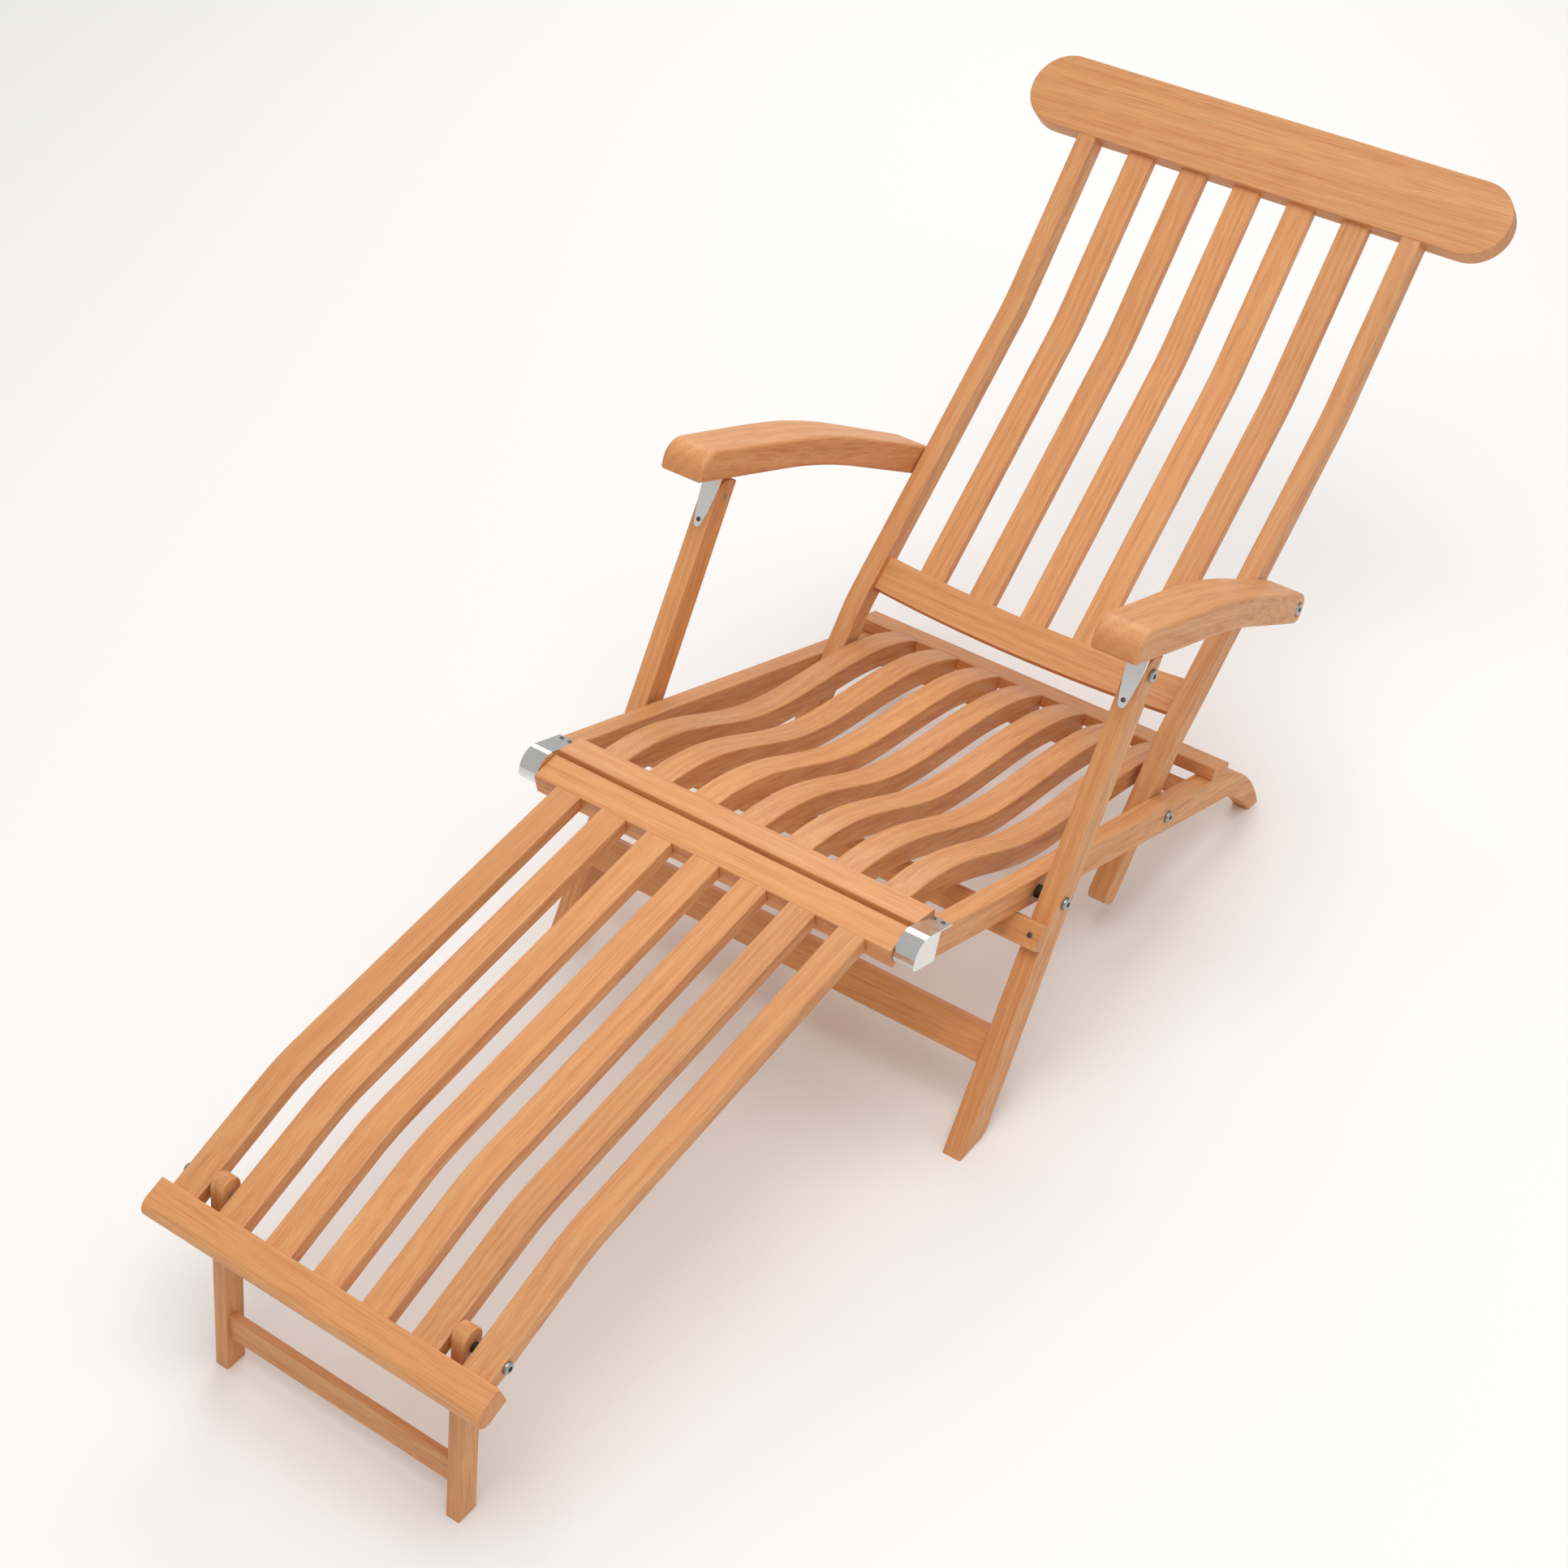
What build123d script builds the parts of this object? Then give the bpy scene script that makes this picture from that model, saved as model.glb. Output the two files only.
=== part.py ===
from build123d import *
import os
from math import atan2, cos, degrees, radians, sin, sqrt

# Folding wooden deck chair with a hinged footrest, in millimetres and degrees.
# +Z is up, +Y runs from the foot end to the head end, and X is across the chair. The origin is on
# the floor, midway between the front of the footrest and the back of the headrest.

# Fits and edges
side_clearance = 0.4  # gap between faces that turn past each other
rest_clearance = 0.3  # gap between a moving piece and the stop that it rests on
hole_clearance = 0.05  # radial, bolt in its hole
end_clearance = 0.8  # each end of the footrest's top board, beside the capped rails
arris = 1.6  # rounding of the long edges

# Seat rails, measured along a sloping axis from the footrest hinge
hinge_height = 312.5
rail_slope = 18.9  # fall towards the back
rail_thickness = 23.0
rail_nose = 16.0  # hinge to the front end
rail_nose_round = 21.0
rail_nose_lower_round = 6.0
rail_rise = 18.0  # axis to top edge
rail_fall = 14.0  # axis to bottom edge at the front
rail_fall_rear = 20.0  # axis to bottom edge at the scroll
rail_straight = 655.0  # hinge to the start of the scroll
scroll_reach = 121.0  # straight top edge to the heel's back
scroll_underside_lead = 49.0  # the hook's arch starts this much further back than its outside
scroll_arch = 4.0  # height of the arch under the hook, over its chord
scroll_arch_round = 60.0  # where the arch meets the rail's underside
heel_length = 22.0
leg_pivot_along = 230.0
back_pivot_along = 532.5
back_pivot_rise = 2.0

# Metal caps on the rails' front ends
cap_sheet = 1.5
cap_cheek_back = 24.0  # cheek's back edge, along the rail from the hinge
cap_tongue_back = 46.0  # end of the tongue along the rail's top edge
cap_screw_inset = 6.0  # from the tongue's edges

# Seat boards and slats
front_board_width = 36.0
front_board_thickness = 24.0
front_board_along = 15.0  # front top edge, along the rail from the hinge
front_board_lift = 1.0  # front top edge over the rail's top edge
front_board_tilt = 9.7  # fall towards the back
batten_along = 638.0
batten_width = 38.0
batten_thickness = 15.0
support_strip_width = 26.0
support_strip_thickness = 14.0
slat_count = 7
slat_side_gap = 6.75  # outer slats to the backrest's stiles
slat_width = 32.5
slat_depth = 26.5
slat_front_drop = 1.5  # slat top under the front board's back edge
slat_rear_rise = 1.0  # slat top over the batten
front_crown_along = 137.0
front_crown = 15.4  # slat top over the rail's top edge
hollow_along = 307.0
hollow_depth = 4.0
rear_crown_along = 552.0
rear_crown = 24.7

# Backrest: three straight runs that turn into each other, from its pivot upwards
stile_outer = 229.0  # half the width over the stiles
stile_thickness = 24.0
stile_depth = 28.0
stile_tail = 120.0  # pivot to the lower end
stile_lower_angle = 49.0
stile_lower_run = 86.0
stile_lower_bend_radius = 140.0
stile_middle_angle = 37.9
stile_middle_run = 415.0
stile_bend_radius = 260.0
stile_top_angle = 46.6
stile_top_run = 221.0
stile_end_round = 11.0
back_slat_count = 5
back_slat_pitch = 72.0
back_slat_width = 34.0
back_slat_depth = 13.0
back_slat_recess = 10.0  # behind the stiles' front faces
back_rail_along = 23.0  # lower edge, along the middle run
back_rail_height = 43.0
back_rail_thickness = 18.0
back_rail_sag = 8.0
headrest_length = 635.0
headrest_height = 93.0
headrest_thickness = 26.0
headrest_angle = 39.5
headrest_proud = 1.0  # its lower edge in front of the stiles' front faces
headrest_edge_round = 2.0

# Arms
arm_pivot_along = 191.0  # along the backrest's middle run
arm_width = 53.5  # at the front
arm_rear_width = 50.5
arm_depth = 36.0
arm_tail = 20.0  # pivot to the rear end
arm_rear_angle = 31.2
arm_rear_run = 220.7
arm_bend_radius = 900.0
arm_front_angle = 21.5
arm_front_run = 240.0
arm_front_round = 26.0
arm_front_lower_round = 4.0
arm_rear_round = 16.5
arm_edge_round = 4.0
arm_overhang = 15.0  # inside the front legs' inner faces
arm_straight = 70.0  # straight front part of the outer side, seen from above
spot_face_depth = 2.5
spot_face_margin = 1.5

# Front legs
leg_gap = 11.0  # between rail and leg, filled by a spacer
leg_thickness = 23.0
leg_front = 17.5  # bolts' line to the front face
leg_top_rear = 12.5  # bolts' line to the back face, at the top
leg_foot_rear = 23.5  # and at the foot
leg_angle = 56.2  # from the floor
leg_top_pivot = 255.5  # rail pivot to the bolt at the top, along the leg
leg_top_end = 21.0  # over the top bolt
leg_top_round = 20.0
leg_foot_chamfer = 8.0
crossboard_thickness = 14.0
crossboard_height = 29.0
stretcher_thickness = 18.0
stretcher_height = 41.0
stretcher_below = 153.0  # rail pivot to the stretcher's top edge, along the leg
stretcher_recess = 5.0  # behind the legs' front faces
spacer_radius = 7.5
strap_thickness = 2.5
strap_width = 21.5
strap_tip_radius = 4.5
strap_tip_below = 41.0  # tip under the top bolt, along the leg
strap_neck = 18.0  # plain width under the bend
strap_bend_radius = 10.0
strap_flange = 11.0  # past the bend, under the arm

# Footrest
footrest_angle = 7.1  # fall from the hinge
footrest_bend_run = 430.5  # top board to the bend
footrest_bend_radius = 260.0
footrest_outer_angle = 18.7
footrest_outer_run = 154.0  # bend to the end rail
footrest_board_width = 36.0
footrest_board_thickness = 25.0
footrest_board_back = 14.5  # hinge axis to the board's back face
footrest_board_rise = 10.0  # hinge axis to the board's top face
footrest_board_round = 11.0  # lower back edge, so that it clears the seat
member_width = 33.0
member_depth = 17.0
end_rail_overhang = 12.5  # past the outer members
end_rail_width = 37.0
end_rail_thickness = 26.0
end_rail_lift = 3.0  # over the members' tops
hinge_pin_radius = 4.0
hinge_pin_in_board = 30.0

# Footrest legs
foot_spacer_length = 5.9  # between leg and outer member
foot_leg_thickness = 17.0
foot_leg_depth = 24.5
foot_leg_lean = 8.4  # foot in front of the pivot
foot_leg_top_gap = 1.0  # rounded top to the end rail, as it turns past
foot_stretcher_thickness = 10.0
foot_stretcher_height = 29.0
foot_stretcher_up = 38.0  # lower edge over the floor
foot_stretcher_recess = 4.5  # behind the legs' front faces

# Bolts and screws
bolt_radius = 4.0
bolt_head_radius = 7.5
bolt_head_height = 4.0
bolt_head_round = 2.5
bolt_socket_radius = 3.2
bolt_socket_depth = 2.6
bolt_cover = 4.0  # wood left past a bolt's tip
foot_bolt_radius = 3.0
foot_bolt_head_radius = 6.5
foot_spacer_radius = 5.5
screw_radius = 1.6
screw_head_radius = 3.2
screw_head_height = 1.0
screw_length = 16.0
crossboard_screw_length = 34.0


# Side view: points are (y, z), with y from the footrest hinge
def step(start, angle, distance, left=0.0):
    """Point reached by going along a direction, then aside to its left."""
    turn = radians(angle)
    y = start[0] + distance * cos(turn) - left * sin(turn)
    z = start[1] + distance * sin(turn) + left * cos(turn)
    return (y, z)


def meet(first, first_angle, second, second_angle):
    """Point where two straight lines cross."""
    a = radians(first_angle)
    b = radians(second_angle)
    gap_y = second[0] - first[0]
    gap_z = second[1] - first[1]
    distance = (gap_y * sin(b) - gap_z * cos(b)) / sin(b - a)
    return step(first, first_angle, distance)


def shifted(path, distance):
    """A bent line moved to its left, with its corners mitred."""
    runs = zip(path, path[1:])
    angles = [atan2(end[1] - start[1], end[0] - start[0]) for start, end in runs]
    before = [angles[0]] + angles
    after = angles + [angles[-1]]
    moved = []
    for point, a, b in zip(path, before, after):
        mitre = distance / cos((b - a) / 2)
        moved.append(step(point, degrees((a + b) / 2), 0, mitre))
    return moved


def on_rail(along, rise=0.0):
    """Point beside the sloping axis of the seat rails."""
    return step(hinge, -rail_slope, along, rise)


def rail_fall_at(along):
    """Distance from the rail's axis down to its lower edge."""
    return rail_fall + (rail_fall_rear - rail_fall) * along / rail_underside


hinge = (0.0, hinge_height)
rail_underside = rail_straight + scroll_underside_lead
leg_pivot = on_rail(leg_pivot_along)
back_pivot = on_rail(back_pivot_along, back_pivot_rise)
leg_top = step(leg_pivot, leg_angle, leg_top_pivot)

stile_foot = step(back_pivot, stile_lower_angle, -stile_tail)
stile_knee = step(back_pivot, stile_lower_angle, stile_lower_run)
stile_bend = step(stile_knee, stile_middle_angle, stile_middle_run)
stile_top = step(stile_bend, stile_top_angle, stile_top_run)
stile_front = stile_depth / 2
headrest_foot = step(stile_top, stile_top_angle, 0, stile_front + headrest_proud)

arm_pivot = step(stile_knee, stile_middle_angle, arm_pivot_along)
arm_rear = step(arm_pivot, -arm_rear_angle, arm_tail)
arm_knee = step(arm_pivot, -arm_rear_angle, -arm_rear_run)
arm_front = step(arm_knee, -arm_front_angle, -arm_front_run)

board_front = footrest_board_back - footrest_board_width
member_start = step(hinge, footrest_angle, board_front, footrest_board_rise - member_depth / 2)
member_bend = step(member_start, footrest_angle, -footrest_bend_run)
member_end = step(member_bend, footrest_outer_angle, -footrest_outer_run)
end_rail_rise = member_depth / 2 + end_rail_lift
end_rail_nose_radius = end_rail_thickness / 2
end_rail_nose = step(
    member_end, footrest_outer_angle, end_rail_nose_radius - end_rail_width, end_rail_rise - end_rail_nose_radius
)

foot_leg_angle = 90 - foot_leg_lean
foot_stop_angle = radians(footrest_outer_angle + foot_leg_lean)
foot_stop_drop = end_rail_thickness - end_rail_rise
foot_pivot_inset = (
    foot_leg_depth / 2 + rest_clearance + foot_stop_drop * sin(foot_stop_angle)
) / cos(foot_stop_angle)
foot_pivot = step(member_end, footrest_outer_angle, foot_pivot_inset)

headrest_back_round = step(
    headrest_foot,
    headrest_angle,
    headrest_height - headrest_edge_round,
    headrest_edge_round - headrest_thickness,
)
head_end = headrest_back_round[0] + headrest_edge_round
foot_end = end_rail_nose[0] - end_rail_nose_radius
hinge_y = -(head_end + foot_end) / 2

# Across the chair
stile_inner = stile_outer - stile_thickness
rail_inner = stile_outer + side_clearance
rail_outer = rail_inner + rail_thickness
leg_inner = rail_outer + leg_gap
leg_outer = leg_inner + leg_thickness
leg_centre = (leg_inner + leg_outer) / 2
footrest_half = rail_inner - end_clearance
outer_slat = stile_inner - slat_side_gap - slat_width / 2
slat_pitch = 2 * outer_slat / (slat_count - 1)
outer_member_inner = outer_slat - member_width / 2
outer_member_outer = outer_slat + member_width / 2
end_rail_half = outer_member_outer + end_rail_overhang
foot_leg_outer = outer_member_inner - foot_spacer_length
foot_leg_inner = foot_leg_outer - foot_leg_thickness


def side_plane(x):
    """Plane of the side view, seen from +X."""
    return Plane(origin=(x, hinge_y, 0), x_dir=(0, 1, 0), z_dir=(1, 0, 0))


def sloping_plane(point, angle, x=0.0):
    """Plane through a point of the side view: its x is across the chair and its y goes up the slope."""
    turn = radians(angle)
    place = (x, hinge_y + point[0], point[1])
    return Plane(origin=place, x_dir=(1, 0, 0), z_dir=(0, -sin(turn), cos(turn)))


def bent_line(points, radius):
    """Straight line, or one with its corners rounded."""
    if len(points) == 2:
        return Line(*points)
    return FilletPolyline(*points, radius=radius)


def bar_face(path, depth, radius=0.0):
    """Face of a bent bar, from its centre line and its depth."""
    with BuildLine() as outline:
        upper = bent_line(shifted(path, depth / 2), radius)
        lower = bent_line(shifted(path, -depth / 2), radius)
        Line(upper @ 0, lower @ 0)
        Line(upper @ 1, lower @ 1)
    make_face(outline.edges())


def box_face(corner, angle, length, height):
    """Sloping rectangle, from its lower start corner."""
    end = step(corner, angle, length)
    with BuildLine() as outline:
        Polyline(corner, end, step(end, angle, 0, height), step(corner, angle, 0, height), close=True)
    make_face(outline.edges())


def hole(point, radius, start, end):
    """Cut a round hole across the chair."""
    with BuildSketch(side_plane(start)) as mouth:
        with Locations(point):
            Circle(radius)
    extrude(mouth.sketch, amount=end - start, mode=Mode.SUBTRACT)


def screw_hole(plane, length):
    """Cut a screw's hole under its head."""
    with BuildSketch(plane) as mouth:
        Circle(screw_radius + hole_clearance)
    extrude(mouth.sketch, amount=-length - hole_clearance, mode=Mode.SUBTRACT)


def ease_sides(builder):
    """Round the edges of the two faces that look across the chair."""
    fillet(builder.faces().filter_by(Axis.X).edges(), arris)


def ease_length(builder):
    """Round the edges of a board that runs across the chair."""
    fillet(builder.edges().filter_by(Axis.X), arris)


def pivot_bolt(point, tip, seat, radius, head_radius):
    """Socket-head bolt across the chair, from its tip to the face that its head sits on."""
    with BuildPart() as bolt:
        with BuildSketch(side_plane(tip)):
            with Locations(point):
                Circle(radius)
        extrude(amount=seat - tip)
        with BuildSketch(side_plane(seat)):
            with Locations(point):
                Circle(head_radius)
        extrude(amount=bolt_head_height)
        fillet(bolt.faces().sort_by(Axis.X)[-1].edges(), bolt_head_round)
        with BuildSketch(side_plane(seat + bolt_head_height)):
            with Locations(point):
                RegularPolygon(bolt_socket_radius, 6)
        extrude(amount=-bolt_socket_depth, mode=Mode.SUBTRACT)
    return bolt


def ring(point, radius, bore, start, end):
    """Spacer around a bolt."""
    with BuildPart() as spacer:
        with BuildSketch(side_plane(start)):
            with Locations(point):
                Circle(radius)
                Circle(bore, mode=Mode.SUBTRACT)
        extrude(amount=end - start)
    return spacer


def screw(plane, length):
    """Flat-headed screw, with its head on a plane."""
    with BuildPart() as fastener:
        with BuildSketch(plane):
            Circle(screw_head_radius)
        extrude(amount=screw_head_height)
        with BuildSketch(plane):
            Circle(screw_radius)
        extrude(amount=-length)
    return fastener


def both_sides(builders):
    """Group of pieces with their mirror images."""
    with BuildPart() as group:
        for builder in builders:
            add(builder.part)
            mirror(builder.part, about=Plane.YZ)
    return group


def save(builder, name):
    """Label a finished piece and write it."""
    builder.part.label = name
    export_step(builder.part, f"parts/{name}.step")


def save_pair(right, name):
    """Write a right-hand piece and its mirror image."""
    with BuildPart() as left:
        mirror(right.part, about=Plane.YZ)
    save(right, f"{name}_r")
    save(left, f"{name}_l")


def spread(count, pitch):
    """Places of a row of pieces across the chair."""
    return [pitch * (i - (count - 1) / 2) for i in range(count)]


os.makedirs("parts", exist_ok=True)

# Seat rails: a rounded front end, and a scroll at the back that stands on the floor
scroll_top = on_rail(rail_straight, rail_rise)
scroll_under = on_rail(rail_underside, -rail_fall_rear)
heel_back = (scroll_top[0] + scroll_reach, 0)
heel_front = (heel_back[0] - heel_length, 0)
cap_screw_top = on_rail(cap_tongue_back - cap_screw_inset, rail_rise + cap_sheet)
cap_screw_planes = [
    sloping_plane(cap_screw_top, -rail_slope, x)
    for x in (rail_inner + cap_screw_inset, rail_outer - cap_screw_inset)
]


def rail_front_end(sheet):
    """Rounded front end of a rail, with or without the thickness of its cap."""
    FilletPolyline(
        on_rail(0, -rail_fall - sheet),
        on_rail(-rail_nose - sheet, -rail_fall - sheet),
        on_rail(-rail_nose - sheet, rail_rise + sheet),
        on_rail(rail_nose_round, rail_rise + sheet),
        radius=[rail_nose_lower_round + sheet, rail_nose_round + sheet],
    )


with BuildPart() as seat_rail:
    with BuildSketch(side_plane(rail_inner)) as rail_side:
        with BuildLine():
            rail_front_end(0)
            Line(on_rail(rail_nose_round, rail_rise), scroll_top)
            TangentArc(scroll_top, heel_back, tangent=step((0, 0), -rail_slope, 1))
            Line(heel_back, heel_front)
            SagittaArc(heel_front, scroll_under, -scroll_arch)
            Line(scroll_under, on_rail(0, -rail_fall))
        make_face()
        fillet(rail_side.vertices().sort_by_distance(scroll_under)[0], scroll_arch_round)
    extrude(amount=rail_thickness)
    ease_sides(seat_rail)
    hole(back_pivot, bolt_radius + hole_clearance, rail_inner, rail_outer)
    hole(leg_pivot, bolt_radius + hole_clearance, rail_inner, rail_outer)
    hole(hinge, hinge_pin_radius + hole_clearance, rail_inner, rail_outer)
    for plane in cap_screw_planes:
        screw_hole(plane, screw_length)
save_pair(seat_rail, "seat_rail")

# Caps: bent sheet round the rail's front end, with a cheek outside and a tongue on top
with BuildPart() as rail_cap:
    with BuildSketch(side_plane(rail_inner)):
        with BuildLine():
            rail_front_end(cap_sheet)
            Polyline(
                on_rail(rail_nose_round, rail_rise + cap_sheet),
                on_rail(cap_tongue_back, rail_rise + cap_sheet),
                on_rail(cap_tongue_back, rail_rise),
                on_rail(cap_cheek_back, rail_rise),
                on_rail(cap_cheek_back, -rail_fall_at(cap_cheek_back) - cap_sheet),
                on_rail(0, -rail_fall - cap_sheet),
            )
        make_face()
    extrude(amount=rail_thickness + cap_sheet)
    with BuildSketch(side_plane(rail_inner)):
        with BuildLine():
            rail_front_end(0)
            Polyline(
                on_rail(rail_nose_round, rail_rise),
                on_rail(cap_tongue_back, rail_rise),
                on_rail(cap_tongue_back, -rail_fall_at(cap_tongue_back)),
                on_rail(0, -rail_fall),
            )
        make_face()
    extrude(amount=rail_thickness, mode=Mode.SUBTRACT)
    for plane in cap_screw_planes:
        screw_hole(plane, screw_length)
save_pair(rail_cap, "rail_cap")
save(both_sides([screw(plane, screw_length) for plane in cap_screw_planes]), "rail_cap_screws")

# Front board between the rails, rear batten on top of them, and the strip under the slats' ends
board_top = on_rail(front_board_along, rail_rise + front_board_lift)
board_low = step(board_top, -front_board_tilt, 0, -front_board_thickness)
with BuildPart() as seat_front_board:
    with BuildSketch(side_plane(-rail_inner)):
        box_face(board_low, -front_board_tilt, front_board_width, front_board_thickness)
    extrude(amount=2 * rail_inner)
    ease_length(seat_front_board)
save(seat_front_board, "seat_front_board")

with BuildPart() as seat_rear_batten:
    with BuildSketch(side_plane(-rail_outer)):
        box_face(on_rail(batten_along, rail_rise), -rail_slope, batten_width, batten_thickness)
    extrude(amount=2 * rail_outer)
    ease_length(seat_rear_batten)
save(seat_rear_batten, "seat_rear_batten")

slat_rear = rail_rise + batten_thickness + slat_rear_rise
strip_low = on_rail(batten_along - support_strip_width, slat_rear - slat_depth - support_strip_thickness)
with BuildPart() as slat_support_strip:
    with BuildSketch(side_plane(-rail_inner)):
        box_face(strip_low, -rail_slope, support_strip_width, support_strip_thickness)
    extrude(amount=2 * rail_inner)
    ease_length(slat_support_strip)
save(slat_support_strip, "slat_support_strip")


# Seat slats: shaped to the sitter, with a crown under the knees and one behind the seat
def slat_edge(drop):
    """Top edge of a seat slat, or a line under it."""
    start = step(board_top, -front_board_tilt, front_board_width, -slat_front_drop - drop)
    return Spline(
        start,
        on_rail(front_crown_along, rail_rise + front_crown - drop),
        on_rail(hollow_along, rail_rise - hollow_depth - drop),
        on_rail(rear_crown_along, rail_rise + rear_crown - drop),
        on_rail(batten_along, slat_rear - drop),
    )


for number, x in enumerate(spread(slat_count, slat_pitch), 1):
    with BuildPart() as seat_slat:
        with BuildSketch(side_plane(x - slat_width / 2)):
            with BuildLine():
                top_edge = slat_edge(0)
                low_edge = slat_edge(slat_depth)
                Line(top_edge @ 0, low_edge @ 0)
                Line(top_edge @ 1, low_edge @ 1)
            make_face()
        extrude(amount=slat_width)
        fillet(seat_slat.edges().filter_by(GeomType.BSPLINE), arris)
    save(seat_slat, f"seat_slat_{number}")

# Headrest: a long board with round ends, on the tops of the stiles and back slats
headrest_centre = step(headrest_foot, headrest_angle, headrest_height / 2)
with BuildPart() as headrest_board:
    with BuildSketch(sloping_plane(headrest_centre, headrest_angle)):
        SlotOverall(headrest_length, headrest_height)
    extrude(amount=-headrest_thickness)
    fillet(headrest_board.faces().sort_by(SortBy.AREA)[-2:].edges(), headrest_edge_round)
save(headrest_board, "headrest_board")

# Backrest stiles
stile_path = [stile_foot, stile_knee, stile_bend, stile_top]
stile_bends = [stile_lower_bend_radius, stile_bend_radius]
bolt_hole_end = stile_inner + bolt_cover
with BuildPart() as back_stile:
    with BuildSketch(side_plane(stile_inner)) as stile_side:
        bar_face(stile_path, stile_depth, stile_bends)
        fillet(stile_side.vertices().sort_by(Axis.Y)[:2], stile_end_round)
    extrude(amount=stile_thickness)
    ease_sides(back_stile)
    add(headrest_board.part, mode=Mode.SUBTRACT)
    hole(back_pivot, bolt_radius + hole_clearance, bolt_hole_end - side_clearance, stile_outer)
    hole(arm_pivot, bolt_radius + hole_clearance, bolt_hole_end - side_clearance, stile_outer)
save_pair(back_stile, "back_stile")

# Lower rail of the back, sagging towards its middle
back_rail_base = step(stile_knee, stile_middle_angle, back_rail_along, stile_front - back_slat_recess)
with BuildPart() as lower_back_rail:
    with BuildSketch(sloping_plane(back_rail_base, stile_middle_angle)):
        with BuildLine():
            ThreePointArc((-stile_inner, 0), (0, -back_rail_sag), (stile_inner, 0))
            Line((stile_inner, 0), (stile_inner, back_rail_height))
            ThreePointArc(
                (stile_inner, back_rail_height),
                (0, back_rail_height - back_rail_sag),
                (-stile_inner, back_rail_height),
            )
            Line((-stile_inner, back_rail_height), (-stile_inner, 0))
        make_face()
    extrude(amount=-back_rail_thickness)
save(lower_back_rail, "lower_back_rail")

# Back slats, from the lower rail to the headrest
slat_foot = step(stile_knee, stile_middle_angle, back_rail_along + back_rail_height / 2)
slat_offset = stile_front - back_slat_recess - back_slat_depth / 2
slat_path = shifted([slat_foot, stile_bend, stile_top], slat_offset)
for number, x in enumerate(spread(back_slat_count, back_slat_pitch), 1):
    with BuildPart() as back_slat:
        with BuildSketch(side_plane(x - back_slat_width / 2)):
            bar_face(slat_path, back_slat_depth, stile_bend_radius)
        extrude(amount=back_slat_width)
        ease_sides(back_slat)
        add(lower_back_rail.part, mode=Mode.SUBTRACT)
        add(headrest_board.part, mode=Mode.SUBTRACT)
    save(back_slat, f"back_slat_{number}")

# Arms: bent in the side view, and drawn in towards the stiles as seen from above
arm_inner_front = leg_inner - arm_overhang
arm_outer_front = arm_inner_front + arm_width
arm_outer_rear = rail_inner + arm_rear_width
arm_plan_front = hinge_y + arm_front[0] - arm_depth
arm_plan_turn = hinge_y + arm_front[0] + arm_straight
arm_plan_rear = hinge_y + arm_rear[0] + arm_depth / 2
arm_taper = arm_outer_front - arm_outer_rear
arm_taper_run = arm_plan_rear - arm_plan_turn
arm_plan_radius = (arm_taper_run**2 + arm_taper**2) / (2 * arm_taper)
arm_pivot_run = hinge_y + arm_pivot[0] - arm_plan_turn
arm_pivot_taper = arm_plan_radius - sqrt(arm_plan_radius**2 - arm_pivot_run**2)
arm_spot_face = arm_outer_front - arm_pivot_taper - spot_face_depth
arm_outer_turn = (arm_outer_front, arm_plan_turn)
arm_rear_corner = (arm_outer_rear, arm_plan_rear)
with BuildPart() as arm:
    with BuildSketch():
        with BuildLine():
            Polyline(
                arm_rear_corner,
                (rail_inner, arm_plan_rear),
                (arm_inner_front, arm_plan_front),
                (arm_outer_front, arm_plan_front),
                arm_outer_turn,
            )
            TangentArc(arm_outer_turn, arm_rear_corner, tangent=(0, 1))
        make_face()
    extrude(amount=arm_front[1] + arm_depth)
    with BuildSketch(side_plane(rail_inner)) as arm_profile:
        bar_face([arm_front, arm_knee, arm_rear], arm_depth, arm_bend_radius)
        fillet(arm_profile.vertices().sort_by(Axis.Y)[-1], arm_front_round)
        fillet(arm_profile.vertices().sort_by(Axis.X)[0], arm_front_lower_round)
        fillet(arm_profile.vertices().sort_by(Axis.X)[-1], arm_rear_round)
        fillet(arm_profile.vertices().sort_by(Axis.Y)[0], arm_rear_round)
    extrude(amount=arm_outer_front - rail_inner, mode=Mode.INTERSECT)
    fillet(arm.edges(), arm_edge_round)
    hole(arm_pivot, bolt_radius + hole_clearance, rail_inner, leg_outer)
    hole(arm_pivot, bolt_head_radius + spot_face_margin, arm_spot_face, leg_outer)
save_pair(arm, "arm")

# Front legs: thicker towards the foot, and cut level with the floor
leg_end = step(leg_top, leg_angle, leg_top_end)
leg_start = step(meet(leg_pivot, leg_angle, (0, 0), 0), leg_angle, -leg_front - leg_foot_rear)
crossboard_front = leg_front + crossboard_thickness
leg_stop_angle = radians(leg_angle + rail_slope)
crossboard_below = (
    rail_fall_at(leg_pivot_along) + rest_clearance + crossboard_front * cos(leg_stop_angle)
) / sin(leg_stop_angle)
crossboard_low = step(leg_pivot, leg_angle, -crossboard_below - crossboard_height, leg_front)
crossboard_screw_plane = sloping_plane(
    step(crossboard_low, leg_angle, crossboard_height / 2, crossboard_thickness), leg_angle, leg_centre
)
strap_tip = step(leg_top, leg_angle, -strap_tip_below, leg_front)
strap_screw_plane = sloping_plane(
    step(strap_tip, leg_angle, 2 * strap_tip_radius, strap_thickness), leg_angle, leg_centre
)
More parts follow.
